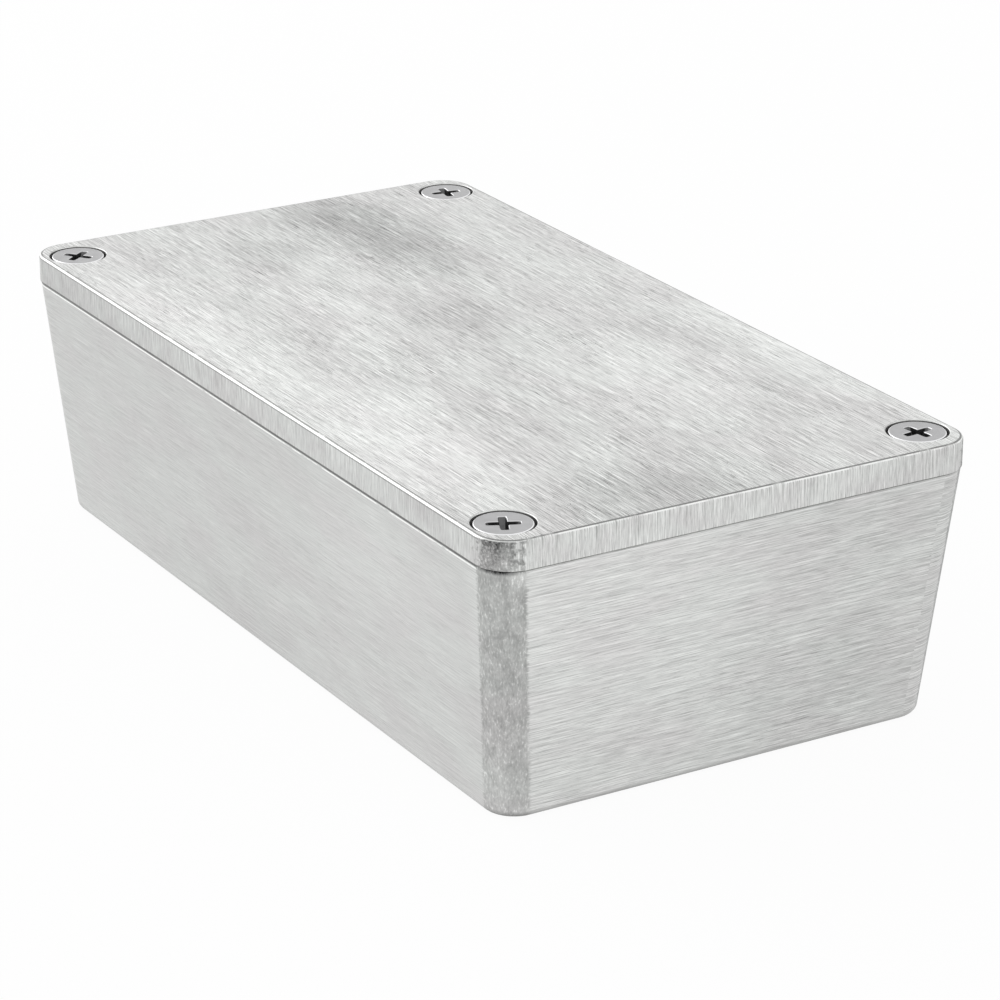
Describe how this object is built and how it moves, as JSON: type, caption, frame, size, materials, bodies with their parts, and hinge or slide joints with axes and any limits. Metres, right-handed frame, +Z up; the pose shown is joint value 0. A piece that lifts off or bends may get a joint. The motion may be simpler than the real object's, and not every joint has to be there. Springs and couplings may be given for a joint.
{
  "type": "die cast aluminium box",
  "caption": "Small rectangular electronics enclosure in die cast aluminium: a draughted tub and a flat lid held down at its corners by countersunk cross-head screws.",
  "frame": {"origin": "middle of the underside", "axes": "+X along the long side, +Y along the short side away from the front, +Z up through the lid"},
  "size_m": [0.112, 0.06, 0.0327],
  "materials": {
    "base_casting": "brushed sides, matte cast corners",
    "lid_casting": "brushed along its length, cloudy",
    "screw_steel": "satin plated"
  },
  "bodies": {
    "root": {"base": "base_casting", "lid": "lid_casting", "screw_front_left": "screw_steel", "screw_front_right": "screw_steel", "screw_back_left": "screw_steel", "screw_back_right": "screw_steel"}
  },
  "joints": []
}
